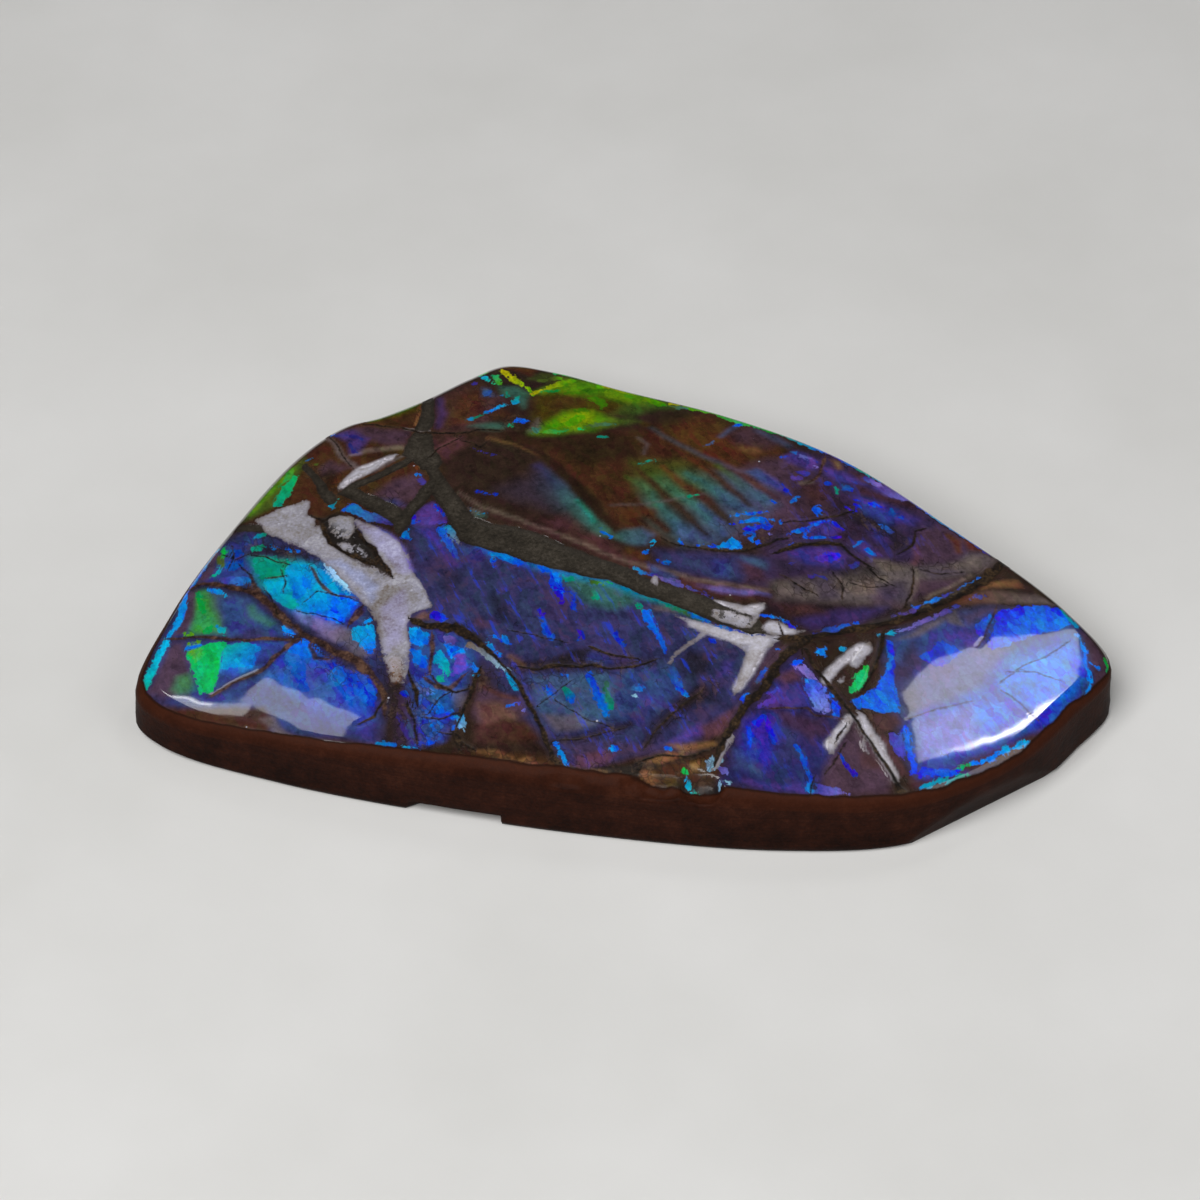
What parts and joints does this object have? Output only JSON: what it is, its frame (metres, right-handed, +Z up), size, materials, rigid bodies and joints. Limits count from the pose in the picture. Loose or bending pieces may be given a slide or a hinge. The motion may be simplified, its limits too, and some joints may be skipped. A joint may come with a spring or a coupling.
{
  "type": "polished ammolite specimen",
  "caption": "Freeform slab of polished ammolite, a domed iridescent fossil shell face with matrix veins on brown stone, lying on a flat sawn base.",
  "frame": {"origin": "middle of the flat base, at the level of the surface that the slab lies on", "axes": "+X along the slab to its blunt right-hand end, -Y towards the long straight edge that faces the viewer, +Z up out of the polished face"},
  "size_m": [0.1329, 0.0869, 0.0155],
  "materials": {
    "ammolite": null
  },
  "bodies": {
    "root": {"ammolite_slab": "ammolite"}
  },
  "joints": []
}
